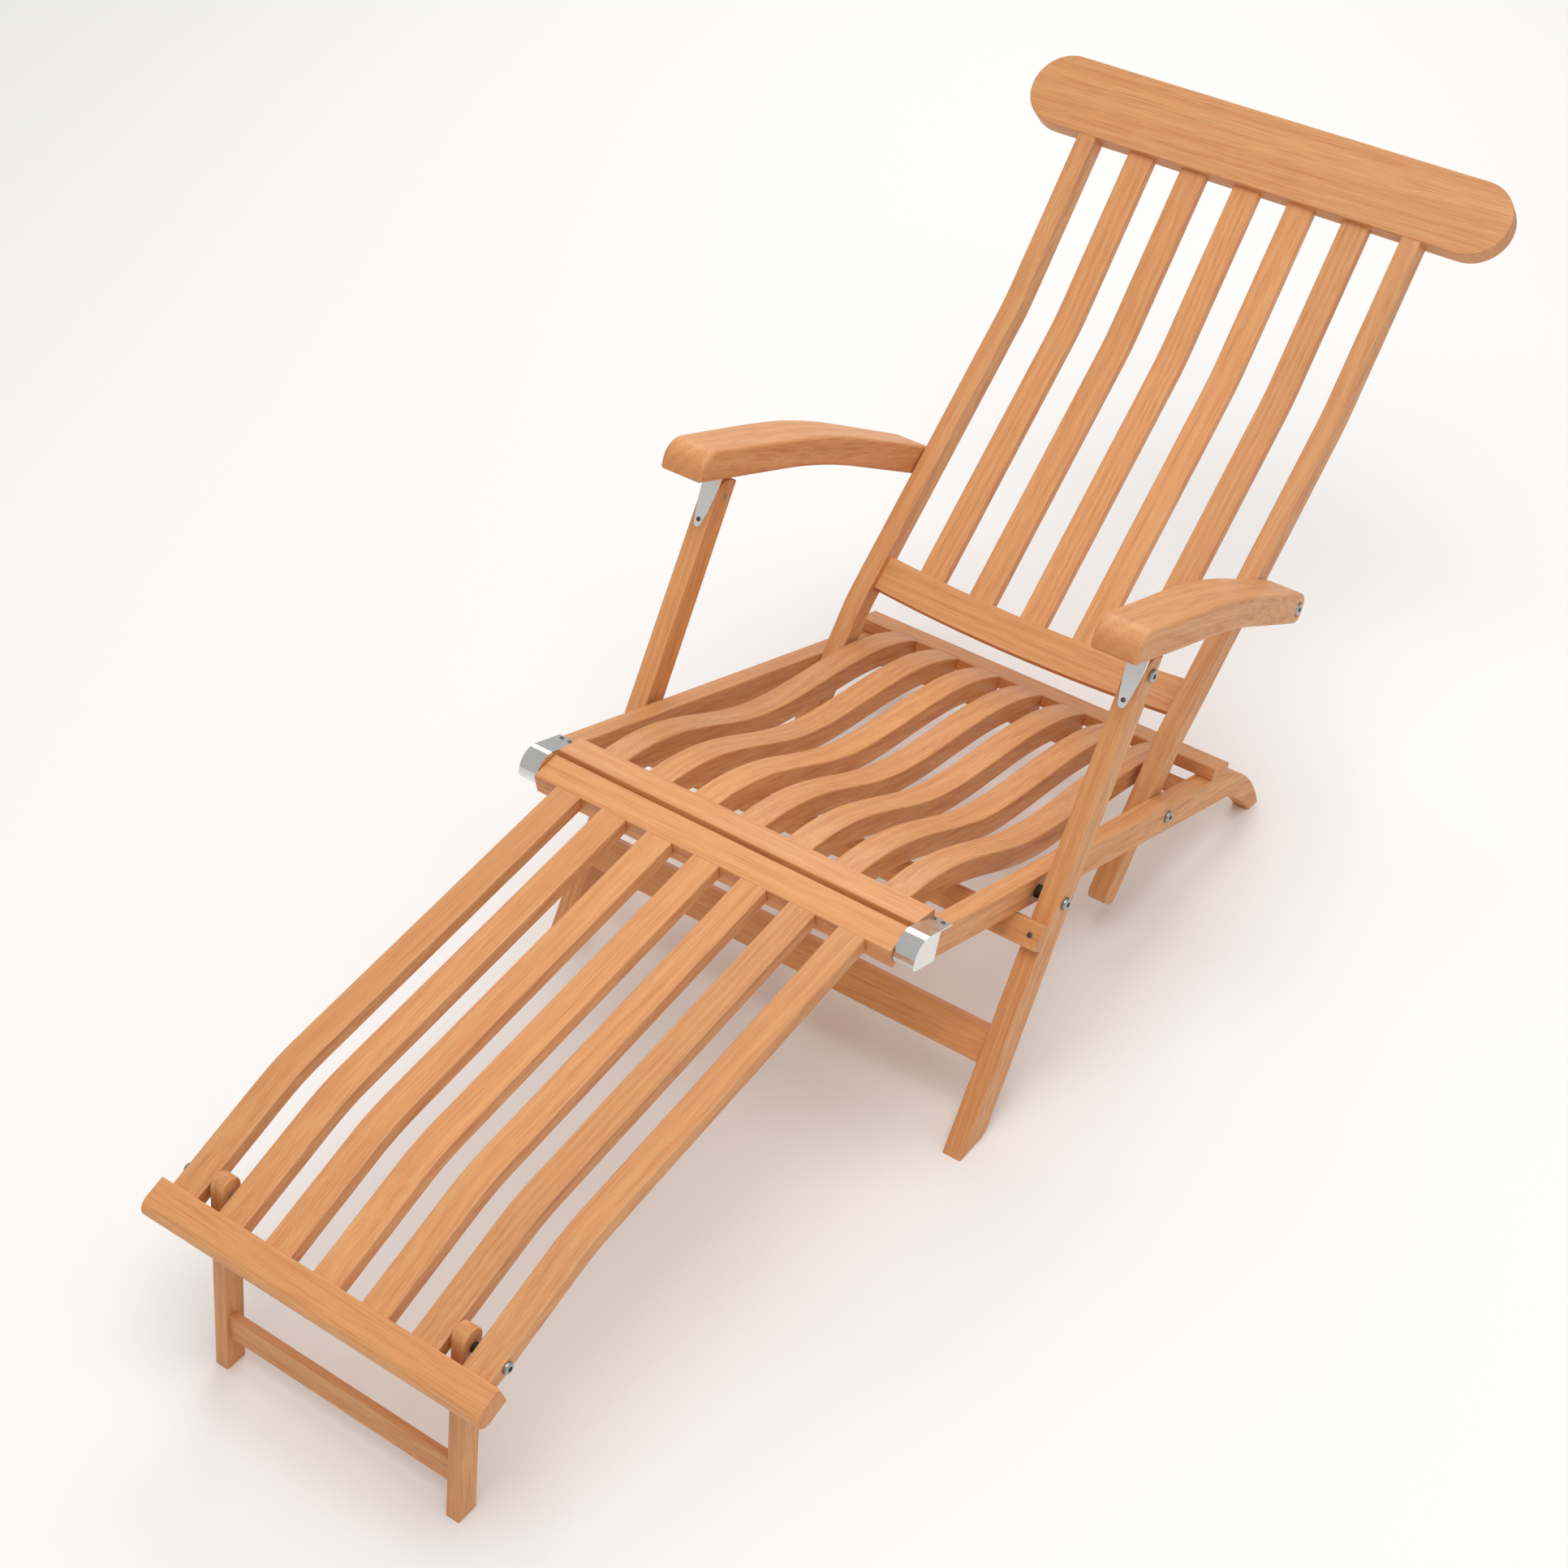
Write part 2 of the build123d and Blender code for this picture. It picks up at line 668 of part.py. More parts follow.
with BuildPart() as front_leg:
    with BuildSketch(side_plane(leg_inner)) as leg_side:
        with BuildLine():
            Polyline(
                step(leg_start, leg_angle, 0, leg_front),
                step(leg_end, leg_angle, 0, leg_front),
                step(leg_end, leg_angle, 0, -leg_top_rear),
                step(leg_start, leg_angle, 0, -leg_foot_rear),
                close=True,
            )
        make_face()
        fillet(leg_side.vertices().sort_by(Axis.Y)[-1], leg_top_round)
    extrude(amount=leg_thickness)
    split(bisect_by=Plane.XY, keep=Keep.TOP)
    chamfer(front_leg.faces().sort_by(Axis.Z)[0].edges().sort_by(Axis.Y)[-1], leg_foot_chamfer)
    ease_sides(front_leg)
    hole(leg_pivot, bolt_radius + hole_clearance, leg_inner, leg_outer)
    hole(leg_top, bolt_radius + hole_clearance, leg_inner, leg_outer)
    screw_hole(crossboard_screw_plane, crossboard_screw_length)
    screw_hole(strap_screw_plane, screw_length)
save_pair(front_leg, "front_leg")

with BuildPart() as upper_crossboard:
    with BuildSketch(side_plane(-leg_outer)):
        box_face(crossboard_low, leg_angle, crossboard_height, crossboard_thickness)
    extrude(amount=2 * leg_outer)
    ease_length(upper_crossboard)
    screw_hole(crossboard_screw_plane, crossboard_screw_length)
    screw_hole(crossboard_screw_plane.move(Location((-2 * leg_centre, 0, 0))), crossboard_screw_length)
save(upper_crossboard, "upper_crossboard")
save(both_sides([screw(crossboard_screw_plane, crossboard_screw_length)]), "crossboard_screws")

stretcher_low = step(
    leg_pivot, leg_angle, -stretcher_below - stretcher_height, leg_front - stretcher_recess - stretcher_thickness
)
with BuildPart() as lower_stretcher:
    with BuildSketch(side_plane(-leg_inner)):
        box_face(stretcher_low, leg_angle, stretcher_height, stretcher_thickness)
    extrude(amount=2 * leg_inner)
    ease_length(lower_stretcher)
save(lower_stretcher, "lower_stretcher")

# Straps: a leaf on the leg's front that bends back under the arm
strap_face = step(leg_top, leg_angle, 0, leg_front + strap_thickness / 2)
under_arm = step(arm_knee, -arm_front_angle, 0, -(arm_depth + strap_thickness) / 2 - rest_clearance)
strap_corner = meet(strap_face, leg_angle, under_arm, -arm_front_angle)
strap_path = [
    step(strap_corner, leg_angle, -strap_neck),
    strap_corner,
    step(strap_corner, -arm_front_angle, strap_flange),
]
leaf_length = Vector(*strap_path[0]).sub(Vector(*strap_tip)).length
with BuildPart() as leg_strap:
    with BuildSketch(side_plane(leg_centre - strap_width / 2)):
        bar_face(strap_path, strap_thickness, strap_bend_radius)
    extrude(amount=strap_width)
    with BuildSketch(sloping_plane(strap_tip, leg_angle, leg_centre)):
        with BuildLine():
            RadiusArc((-strap_width / 2, leaf_length), (-strap_tip_radius, strap_tip_radius), -4 * leaf_length)
            ThreePointArc((-strap_tip_radius, strap_tip_radius), (0, 0), (strap_tip_radius, strap_tip_radius))
            RadiusArc((strap_tip_radius, strap_tip_radius), (strap_width / 2, leaf_length), -4 * leaf_length)
            Line((strap_width / 2, leaf_length), (-strap_width / 2, leaf_length))
        make_face()
    extrude(amount=strap_thickness)
    screw_hole(strap_screw_plane, screw_length)
save_pair(leg_strap, "leg_strap")
save(both_sides([screw(strap_screw_plane, screw_length)]), "strap_screws")

# Bolts and spacers of the folding frame
back_bolt = pivot_bolt(back_pivot, bolt_hole_end, rail_outer, bolt_radius, bolt_head_radius)
save(both_sides([back_bolt]), "back_pivot_bolts")
arm_bolt = pivot_bolt(arm_pivot, bolt_hole_end, arm_spot_face + side_clearance, bolt_radius, bolt_head_radius)
save(both_sides([arm_bolt]), "arm_bolts")
leg_bolt = pivot_bolt(leg_pivot, rail_inner, leg_outer + side_clearance, bolt_radius, bolt_head_radius)
save(both_sides([leg_bolt]), "leg_pivot_bolts")
top_bolt = pivot_bolt(leg_top, leg_inner, leg_outer, bolt_radius, bolt_head_radius)
save(both_sides([top_bolt]), "leg_top_bolts")
leg_spacer = ring(leg_pivot, spacer_radius, bolt_radius + hole_clearance, rail_outer, leg_inner - side_clearance)
save(both_sides([leg_spacer]), "leg_spacers")

# Footrest: top board on the hinge pins, members and slats, and an end rail with a round front
board_corner = step(hinge, footrest_angle, board_front, footrest_board_rise - footrest_board_thickness)
with BuildPart() as footrest_top_board:
    with BuildSketch(side_plane(-footrest_half)) as board_side:
        box_face(board_corner, footrest_angle, footrest_board_width, footrest_board_thickness)
        fillet(board_side.vertices().sort_by(Axis.X)[-2:].sort_by(Axis.Y)[0], footrest_board_round)
    extrude(amount=2 * footrest_half)
    fillet(footrest_top_board.faces().sort_by(Axis.Y)[0].edges().filter_by(Axis.X), arris)
    pin_end = footrest_half - hinge_pin_in_board
    hole(hinge, hinge_pin_radius + hole_clearance, pin_end - side_clearance, footrest_half)
    hole(hinge, hinge_pin_radius + hole_clearance, -footrest_half, side_clearance - pin_end)
save(footrest_top_board, "footrest_top_board")

with BuildPart() as hinge_pin:
    with BuildSketch(side_plane(pin_end)):
        with Locations(hinge):
            Circle(hinge_pin_radius)
    extrude(amount=rail_outer - pin_end)
save(both_sides([hinge_pin]), "footrest_hinge_pins")

member_path = [member_end, member_bend, member_start]
for number, x in enumerate(spread(slat_count, slat_pitch)):
    with BuildPart() as member:
        with BuildSketch(side_plane(x - member_width / 2)):
            bar_face(member_path, member_depth, footrest_bend_radius)
        extrude(amount=member_width)
        ease_sides(member)
        if number in (0, slat_count - 1):
            hole(foot_pivot, foot_bolt_radius + hole_clearance, x - member_width / 2, x + member_width / 2)
    outer_names = {0: "footrest_member_l", slat_count - 1: "footrest_member_r"}
    save(member, outer_names.get(number, f"footrest_slat_{number}"))

end_rail_back = step(member_end, footrest_outer_angle, 0, end_rail_rise)
end_rail_low = step(member_end, footrest_outer_angle, 0, end_rail_rise - end_rail_thickness)
nose_top = step(end_rail_nose, footrest_outer_angle, 0, end_rail_nose_radius)
nose_low = step(end_rail_nose, footrest_outer_angle, 0, -end_rail_nose_radius)
with BuildPart() as footrest_end_rail:
    with BuildSketch(side_plane(-end_rail_half)):
        with BuildLine():
            Polyline(nose_low, end_rail_low, end_rail_back, nose_top)
            ThreePointArc(nose_top, step(end_rail_nose, footrest_outer_angle, -end_rail_nose_radius), nose_low)
        make_face()
    extrude(amount=2 * end_rail_half)
    ease_sides(footrest_end_rail)
save(footrest_end_rail, "footrest_end_rail")

# Footrest legs, with round tops that turn past the end rail
foot_leg_stub = foot_pivot_inset - foot_leg_top_gap
foot_leg_radius = foot_leg_depth / 2
foot_leg_round = step(foot_pivot, foot_leg_angle, foot_leg_stub - foot_leg_radius)
foot_leg_start = step(meet(foot_pivot, foot_leg_angle, (0, 0), 0), foot_leg_angle, -foot_leg_depth)
with BuildPart() as footrest_leg:
    with BuildSketch(side_plane(foot_leg_inner)):
        bar_face([foot_leg_start, foot_leg_round], foot_leg_depth)
        with Locations(foot_leg_round):
            Circle(foot_leg_radius)
    extrude(amount=foot_leg_thickness)
    split(bisect_by=Plane.XY, keep=Keep.TOP)
    ease_sides(footrest_leg)
    hole(foot_pivot, foot_bolt_radius + hole_clearance, foot_leg_inner, foot_leg_outer)
save_pair(footrest_leg, "footrest_leg")

foot_stretcher_drop = (foot_pivot[1] - foot_stretcher_up) / sin(radians(foot_leg_angle))
foot_stretcher_back = foot_leg_radius - foot_stretcher_recess - foot_stretcher_thickness
foot_stretcher_low = step(foot_pivot, foot_leg_angle, -foot_stretcher_drop, foot_stretcher_back)
with BuildPart() as footrest_leg_stretcher:
    with BuildSketch(side_plane(-foot_leg_inner)):
        box_face(foot_stretcher_low, foot_leg_angle, foot_stretcher_height, foot_stretcher_thickness)
    extrude(amount=2 * foot_leg_inner)
    ease_length(footrest_leg_stretcher)
save(footrest_leg_stretcher, "footrest_leg_stretcher")

foot_bolt = pivot_bolt(foot_pivot, foot_leg_inner, outer_member_outer, foot_bolt_radius, foot_bolt_head_radius)
save(both_sides([foot_bolt]), "footrest_leg_bolts")
foot_spacer = ring(
    foot_pivot,
    foot_spacer_radius,
    foot_bolt_radius + hole_clearance,
    foot_leg_outer + side_clearance,
    outer_member_inner,
)
save(both_sides([foot_spacer]), "footrest_leg_spacers")
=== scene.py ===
"""Looks of a folding slatted deck chair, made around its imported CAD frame.

The CAD solids keep their shapes and get oiled wood, polished steel and nylon. The small screws are
made again here with cross recesses. All lengths are in metres unless a name ends in _mm.
"""
import logging
import math
import random
from dataclasses import dataclass, field
from enum import Enum
from typing import Any

import bmesh
import bpy
from mathutils import Matrix, Vector


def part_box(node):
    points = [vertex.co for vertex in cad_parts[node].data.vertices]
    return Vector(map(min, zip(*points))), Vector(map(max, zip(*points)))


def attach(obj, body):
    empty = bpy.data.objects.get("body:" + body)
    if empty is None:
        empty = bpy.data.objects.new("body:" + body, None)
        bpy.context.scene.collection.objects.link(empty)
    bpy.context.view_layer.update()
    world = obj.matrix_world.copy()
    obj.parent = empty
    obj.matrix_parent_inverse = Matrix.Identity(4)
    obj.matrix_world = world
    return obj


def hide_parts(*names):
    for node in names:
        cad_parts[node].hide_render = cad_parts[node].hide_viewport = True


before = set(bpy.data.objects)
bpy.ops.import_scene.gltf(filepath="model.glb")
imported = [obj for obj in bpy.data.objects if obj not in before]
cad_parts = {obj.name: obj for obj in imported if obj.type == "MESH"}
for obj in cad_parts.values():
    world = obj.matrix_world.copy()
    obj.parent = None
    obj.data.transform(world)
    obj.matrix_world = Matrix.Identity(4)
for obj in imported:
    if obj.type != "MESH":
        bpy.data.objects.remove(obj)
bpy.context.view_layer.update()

log = logging.getLogger("deck_chair")

MM = 0.001
WAVE_PERIOD = 2 * math.pi / 20  # length of one wave of Blender's Wave texture at a scale of 1
SAME_LEVEL = 0.1 * MM  # points nearer than this along a screw lie on one of its faces
SHANK_GAP = 3 * MM  # least space between two screws of a group


class Run(Enum):
    """Which way the grain of a wooden piece runs."""

    ACROSS = "across the chair"
    SIDE = "along a line of the side view"


def linear(colour: str, tone: float = 1.0) -> tuple[float, float, float, float]:
    """Turn an sRGB hex colour into linear values.

    Args:
        colour: Six hex digits after a hash sign.
        tone: Factor on the linear values.

    Returns:
        Red, green, blue and alpha.
    """
    parts = [int(colour[i : i + 2], 16) / 255 for i in (1, 3, 5)]
    red, green, blue = (c / 12.92 if c <= 0.04045 else ((c + 0.055) / 1.055) ** 2.4 for c in parts)
    return (red * tone, green * tone, blue * tone, 1.0)


def add_node(
    tree: bpy.types.NodeTree, kind: str, inputs: dict[Any, Any], **settings: Any
) -> bpy.types.Node:
    """Add a node with its settings, and link or fill its inputs.

    Args:
        tree: Node tree of a material.
        kind: Blender's name for the node type.
        inputs: Input name or number to a value, or to the output socket that feeds it.
        settings: Properties of the node itself.

    Returns:
        The new node.
    """
    node = tree.nodes.new(kind)
    for name, value in settings.items():
        setattr(node, name, value)
    for name, value in inputs.items():
        if isinstance(value, bpy.types.NodeSocket):
            tree.links.new(value, node.inputs[name])
        else:
            node.inputs[name].default_value = value
    return node


def new_material(name: str) -> tuple[bpy.types.Material, bpy.types.NodeTree, bpy.types.Node]:
    """Start a node material.

    Args:
        name: Name of the real material.

    Returns:
        The material, its tree and its Principled shader.
    """
    material = bpy.data.materials.new(name)
    material.use_nodes = True
    tree = material.node_tree
    return material, tree, tree.nodes["Principled BSDF"]


@dataclass(frozen=True)
class Grain:
    """Direction of the grain in a wooden piece.

    Attributes:
        run: Across the chair, or along a line of the side view.
        slope: Rise of that line towards the head end, in degrees.
        fineness: How fine the streaks are across and through the piece. Below 1 they are drawn out, so
            that they stay long where the piece bends that way.
    """

    run: Run
    slope: float = 0.0
    fineness: tuple[float, float] = (1.0, 0.22)

    @property
    def direction(self) -> Vector:
        """Unit vector along the grain."""
        if self.run is Run.ACROSS:
            return Vector((1, 0, 0))
        angle = math.radians(self.slope)
        return Vector((0, math.cos(angle), math.sin(angle)))

    @property
    def turn(self) -> tuple[float, float, float]:
        """Rotation that brings the grain onto the Y axis."""
        if self.run is Run.ACROSS:
            return (0.0, 0.0, math.pi / 2)
        return (-math.radians(self.slope), 0.0, 0.0)


@dataclass(frozen=True)
class Cut:
    """How one piece was cut from its log.

    Attributes:
        turn: Rotation that brings the log's length onto the Y axis.
        place: Shift after that rotation, from the piece to the log's heart.
        tone: Factor on the wood's colours.
    """

    turn: Vector
    place: Vector
    tone: float


@dataclass(frozen=True)
class OiledTeak:
    """Planed and oiled plantation teak.

    Honey-coloured, with faint rings, fine darker streaks along the grain, short open pores and a low
    satin sheen. Sawn ends are darker, since they drink oil.
    """

    light: str = "#dfa96f"
    middle: str = "#d4925a"
    dark: str = "#bf7b48"
    pore: str = "#925228"
    sawn_end: str = "#b46a39"
    tone_spread: float = 0.07  # between pieces
    ring_mm: float = 7.0
    streak_mm: float = 1.1
    pore_mm: float = 1.1  # drawn coarser than the real 0.3 mm, which the render would lose
    patch_mm: float = 55.0
    stretch: float = 70.0  # length of a streak over its width
    heart_depth_mm: tuple[float, float] = (45.0, 150.0)
    heart_side_mm: float = 35.0
    heart_lean: float = 2.2  # degrees between the grain and the piece
    ring_wobble: float = 4.5
    ring_weight: float = 0.1
    streak_weight: float = 1.0
    patch_weight: float = 0.14
    dark_stop: float = 0.38
    middle_stop: float = 0.62
    light_stop: float = 0.84
    pore_edge: tuple[float, float] = (0.6, 0.74)
    pore_cover: float = 0.4
    end_edge: tuple[float, float] = (0.6, 0.95)  # squared cosine between a face and the grain
    end_cover: float = 0.3
    streak_span: tuple[float, float] = (0.3, 0.7)
    sheen: tuple[float, float] = (0.54, 0.42)  # roughness of dark and of light streaks
    pore_sink: float = -0.8
    relief: float = 0.3
    relief_mm: float = 0.25

    def material(self, node: str, grain: Grain) -> bpy.types.Material:
        """Make the wood of one piece.

        Args:
            node: Name of the piece, which also seeds its own cut of the log.
            grain: Direction of the grain.

        Returns:
            The piece's material.
        """
        cut = self._cut(node, grain)
        material, tree, shader = new_material(f"oiled_teak.{node}")
        coords = add_node(tree, "ShaderNodeTexCoord", {})
        turned = add_node(
            tree,
            "ShaderNodeMapping",
            {0: coords.outputs["Object"], "Location": cut.place, "Rotation": cut.turn},
        )
        across, through = grain.fineness
        long = add_node(
            tree,
            "ShaderNodeVectorMath",
            {0: turned.outputs[0], 1: (across, 1 / self.stretch, through)},
            operation="MULTIPLY",
        )
        streaks = add_node(
            tree,
            "ShaderNodeTexNoise",
            {
                "Vector": long.outputs[0],
                "Scale": 1 / (self.streak_mm * MM),
                "Detail": 3.0,
                "Roughness": 0.6,
            },
        )
        pores = add_node(
            tree,
            "ShaderNodeTexNoise",
            {"Vector": long.outputs[0], "Scale": 1 / (self.pore_mm * MM), "Detail": 1.0},
        )
        pore_mask = add_node(
            tree,
            "ShaderNodeMapRange",
            {
                "Value": pores.outputs["Fac"],
                "From Min": self.pore_edge[0],
                "From Max": self.pore_edge[1],
                "To Max": self.pore_cover,
            },
        )
        figure = self._figure(tree, long.outputs[0], streaks.outputs["Fac"], cut.tone)
        pored = add_node(
            tree,
            "ShaderNodeMix",
            {"Factor": pore_mask.outputs[0], 6: figure, 7: linear(self.pore, cut.tone)},
            data_type="RGBA",
        )
        end_mask = self._ends(tree, coords.outputs["Normal"], grain)
        ended = add_node(
            tree,
            "ShaderNodeMix",
            {"Factor": end_mask, 6: pored.outputs[2], 7: linear(self.sawn_end, cut.tone)},
            data_type="RGBA",
        )
        tree.links.new(ended.outputs[2], shader.inputs["Base Color"])
        self._surface(tree, shader, streaks.outputs["Fac"], pore_mask.outputs[0])
        return material

    def _cut(self, node: str, grain: Grain) -> Cut:
        """Draw a piece's place in its log.

        Args:
            node: Name of the piece, which seeds the draw.
            grain: Direction of the grain.

        Returns:
            The piece's cut.
        """
        draw = random.Random(node)
        tone = 1 + draw.uniform(-self.tone_spread, self.tone_spread)
        low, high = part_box(node)
        lean = math.radians(draw.uniform(-self.heart_lean, self.heart_lean))
        turn = Vector(grain.turn) + Vector((lean, 0, lean / 2))
        rotation = Matrix.Rotation(turn.z, 3, "Z") @ Matrix.Rotation(turn.x, 3, "X")
        heart = Vector(
            (
                draw.uniform(-self.heart_side_mm, self.heart_side_mm) * MM,
                draw.uniform(0, 1),
                draw.uniform(*self.heart_depth_mm) * MM,
            )
        )
        return Cut(turn, heart - rotation @ ((low + high) / 2), tone)

    def _figure(
        self,
        tree: bpy.types.NodeTree,
        place: bpy.types.NodeSocket,
        streaks: bpy.types.NodeSocket,
        tone: float,
    ) -> bpy.types.NodeSocket:
        """Colour the wood by its rings, streaks and slow patches.

        Args:
            tree: The material's tree.
            place: Place in the log, drawn out along the grain.
            streaks: Strength of the streaks.
            tone: Factor on the colours.

        Returns:
            The colour.
        """
        rings = add_node(
            tree,
            "ShaderNodeTexWave",
            {
                "Vector": place,
                "Scale": WAVE_PERIOD / (self.ring_mm * MM),
                "Distortion": self.ring_wobble,
                "Detail": 3.0,
                "Detail Scale": 0.6,
                "Detail Roughness": 0.6,
            },
            wave_type="RINGS",
            rings_direction="Y",
            wave_profile="SIN",
        )
        patches = add_node(
            tree,
            "ShaderNodeTexNoise",
            {"Vector": place, "Scale": 1 / (self.patch_mm * MM), "Detail": 2.0},
        )
        ringed = add_node(
            tree,
            "ShaderNodeMath",
            {0: rings.outputs["Fac"], 1: self.ring_weight},
            operation="MULTIPLY",
        )
        streaked = add_node(
            tree,
            "ShaderNodeMath",
            {0: streaks, 1: self.streak_weight, 2: ringed.outputs[0]},
            operation="MULTIPLY_ADD",
        )
        patched = add_node(
            tree,
            "ShaderNodeMath",
            {0: patches.outputs["Fac"], 1: self.patch_weight, 2: streaked.outputs[0]},
            operation="MULTIPLY_ADD",
        )
        ramp = add_node(tree, "ShaderNodeValToRGB", {0: patched.outputs[0]})
        stops = ramp.color_ramp.elements
        stops[0].position, stops[0].color = self.dark_stop, linear(self.dark, tone)
        stops[1].position, stops[1].color = self.light_stop, linear(self.light, tone)
        stops.new(self.middle_stop).color = linear(self.middle, tone)
        return ramp.outputs[0]

    def _ends(
        self, tree: bpy.types.NodeTree, normal: bpy.types.NodeSocket, grain: Grain
    ) -> bpy.types.NodeSocket:
        """Find the sawn ends.

        Args:
            tree: The material's tree.
            normal: The surface's direction.
            grain: Direction of the grain.

        Returns:
            How much of the ends' colour shows.
        """
        facing = add_node(
            tree, "ShaderNodeVectorMath", {0: normal, 1: grain.direction}, operation="DOT_PRODUCT"
        )
        cosine = facing.outputs["Value"]
        square = add_node(tree, "ShaderNodeMath", {0: cosine, 1: cosine}, operation="MULTIPLY")
        mask = add_node(
            tree,
            "ShaderNodeMapRange",
            {
                "Value": square.outputs[0],
                "From Min": self.end_edge[0],
                "From Max": self.end_edge[1],
                "To Max": self.end_cover,
            },
        )
        return mask.outputs[0]

    def _surface(
        self,
        tree: bpy.types.NodeTree,
        shader: bpy.types.Node,
        streaks: bpy.types.NodeSocket,
        pores: bpy.types.NodeSocket,
    ) -> None:
        """Give the wood its satin sheen and the shallow relief of its grain.

        Args:
            tree: The material's tree.
            shader: Its Principled shader.
            streaks: Strength of the streaks.
            pores: Where the pores are.
        """
        gloss = add_node(
            tree,
            "ShaderNodeMapRange",
            {
                "Value": streaks,
                "From Min": self.streak_span[0],
                "From Max": self.streak_span[1],
                "To Min": self.sheen[0],
                "To Max": self.sheen[1],
            },
        )
        height = add_node(
            tree,
            "ShaderNodeMath",
            {0: pores, 1: self.pore_sink, 2: streaks},
            operation="MULTIPLY_ADD",
        )
        bump = add_node(
            tree,
            "ShaderNodeBump",
            {"Strength": self.relief, "Distance": self.relief_mm * MM, "Height": height.outputs[0]},
        )
        tree.links.new(gloss.outputs[0], shader.inputs["Roughness"])
        tree.links.new(bump.outputs[0], shader.inputs["Normal"])


@dataclass(frozen=True)
class Steel:
    """Stainless steel, from mirror-polished sheet to the satin of a turned bolt.

    Attributes:
        name: Common name of the finish.
        colour: Reflected colour.
        smooth: Roughness of the cleanest areas.
        scuffed: Roughness where handling has dulled it.
        scuff_mm: Size of the dulled patches.
        dent_mm: Height of the slow unevenness in the sheet.
        scuff_span: Noise values between which the dulling sets in.
        relief: Strength of the unevenness.
    """

    name: str
    colour: str
    smooth: float
    scuffed: float
    scuff_mm: float
    dent_mm: float
    scuff_span: tuple[float, float] = (0.35, 0.75)
    relief: float = 0.4

    def material(self) -> bpy.types.Material:
        """Make the metal: bright reflections, broken by soft handling marks."""
        material, tree, shader = new_material(self.name)
        coords = add_node(tree, "ShaderNodeTexCoord", {})
        scuffs = add_node(
            tree,
            "ShaderNodeTexNoise",
            {
                "Vector": coords.outputs["Object"],
                "Scale": 1 / (self.scuff_mm * MM),
                "Detail": 4.0,
                "Roughness": 0.6,
            },
        )
        gloss = add_node(
            tree,
            "ShaderNodeMapRange",
            {
                "Value": scuffs.outputs["Fac"],
                "From Min": self.scuff_span[0],
                "From Max": self.scuff_span[1],
                "To Min": self.smooth,
                "To Max": self.scuffed,
            },
        )
        bump = add_node(
            tree,
            "ShaderNodeBump",
            {"Strength": self.relief, "Distance": self.dent_mm * MM, "Height": scuffs.outputs["Fac"]},
        )
        shader.inputs["Base Color"].default_value = linear(self.colour)
        shader.inputs["Metallic"].default_value = 1.0
        tree.links.new(gloss.outputs[0], shader.inputs["Roughness"])
        tree.links.new(bump.outputs[0], shader.inputs["Normal"])
        return material


@dataclass(frozen=True)
class MouldedNylon:
    """Matt moulded nylon whose brown-black colour is painted shade, to read as shadow between legs and
    rails.
    """

    # painted shade: the spacers are darkened to brown-black to stand in for the shadow in the gaps
    colour: str = "#1c130d"
    texture_mm: float = 0.8
    sheen: tuple[float, float] = (0.65, 0.85)
    relief: float = 0.2
    relief_mm: float = 0.1

    def material(self) -> bpy.types.Material:
        """Make the plastic of the spacers."""
        material, tree, shader = new_material("moulded_nylon")
        coords = add_node(tree, "ShaderNodeTexCoord", {})
        texture = add_node(
            tree,
            "ShaderNodeTexNoise",
            {"Vector": coords.outputs["Object"], "Scale": 1 / (self.texture_mm * MM), "Detail": 2.0},
        )
        gloss = add_node(
            tree,
            "ShaderNodeMapRange",
            {"Value": texture.outputs["Fac"], "To Min": self.sheen[0], "To Max": self.sheen[1]},
        )
        bump = add_node(
            tree,
            "ShaderNodeBump",
            {
                "Strength": self.relief,
                "Distance": self.relief_mm * MM,
                "Height": texture.outputs["Fac"],
            },
        )
        shader.inputs["Base Color"].default_value = linear(self.colour)
        tree.links.new(gloss.outputs[0], shader.inputs["Roughness"])
        tree.links.new(bump.outputs[0], shader.inputs["Normal"])
        return material


# Caps: sheet polished to a mirror, so that it shows the bright room with a slight wave.
POLISHED_SHEET = Steel("polished_stainless_sheet", "#e3e3e1", 0.06, 0.2, 14.0, 0.15)
# Straps: brushed sheet, which blurs the room to an even pale grey.
BRUSHED_STRAP = Steel("brushed_stainless_strap", "#f6f6f4", 0.3, 0.42, 9.0, 0.05)
# Bolts: turned and tumbled, darker than the sheet, with a soft highlight.
SATIN_BOLT = Steel("satin_stainless_bolt", "#a3a4a4", 0.22, 0.38, 3.0, 0.03)
# Screws: dull and dark, so that they read as dots.
TARNISHED_SCREW = Steel("tarnished_screw_steel", "#6d6862", 0.3, 0.5, 2.0, 0.03)


@dataclass
class Finishes:
    """The chair's finishes, made once and shared."""

    teak: OiledTeak = field(default_factory=OiledTeak)
    polished: bpy.types.Material = field(default_factory=POLISHED_SHEET.material)
    strap: bpy.types.Material = field(default_factory=BRUSHED_STRAP.material)
    bolt: bpy.types.Material = field(default_factory=SATIN_BOLT.material)
    screw: bpy.types.Material = field(default_factory=TARNISHED_SCREW.material)
    nylon: bpy.types.Material = field(default_factory=lambda: MouldedNylon().material())


def wear(node: str, material: bpy.types.Material) -> None:
    """Give a CAD node its finish.

    Args:
        node: Name of the node.
        material: Finish for all of its slots.
    """
    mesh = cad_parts[node].data
    mesh.materials.clear()
    mesh.materials.append(material)
    log.info("%s wears %s", node, material.name)


def pair(name: str) -> list[str]:
    """Names of a left and right piece."""
    return [f"{name}_l", f"{name}_r"]


def row(name: str, count: int) -> list[str]:
    """Names of a numbered row of pieces."""
    return [f"{name}_{number}" for number in range(1, count + 1)]


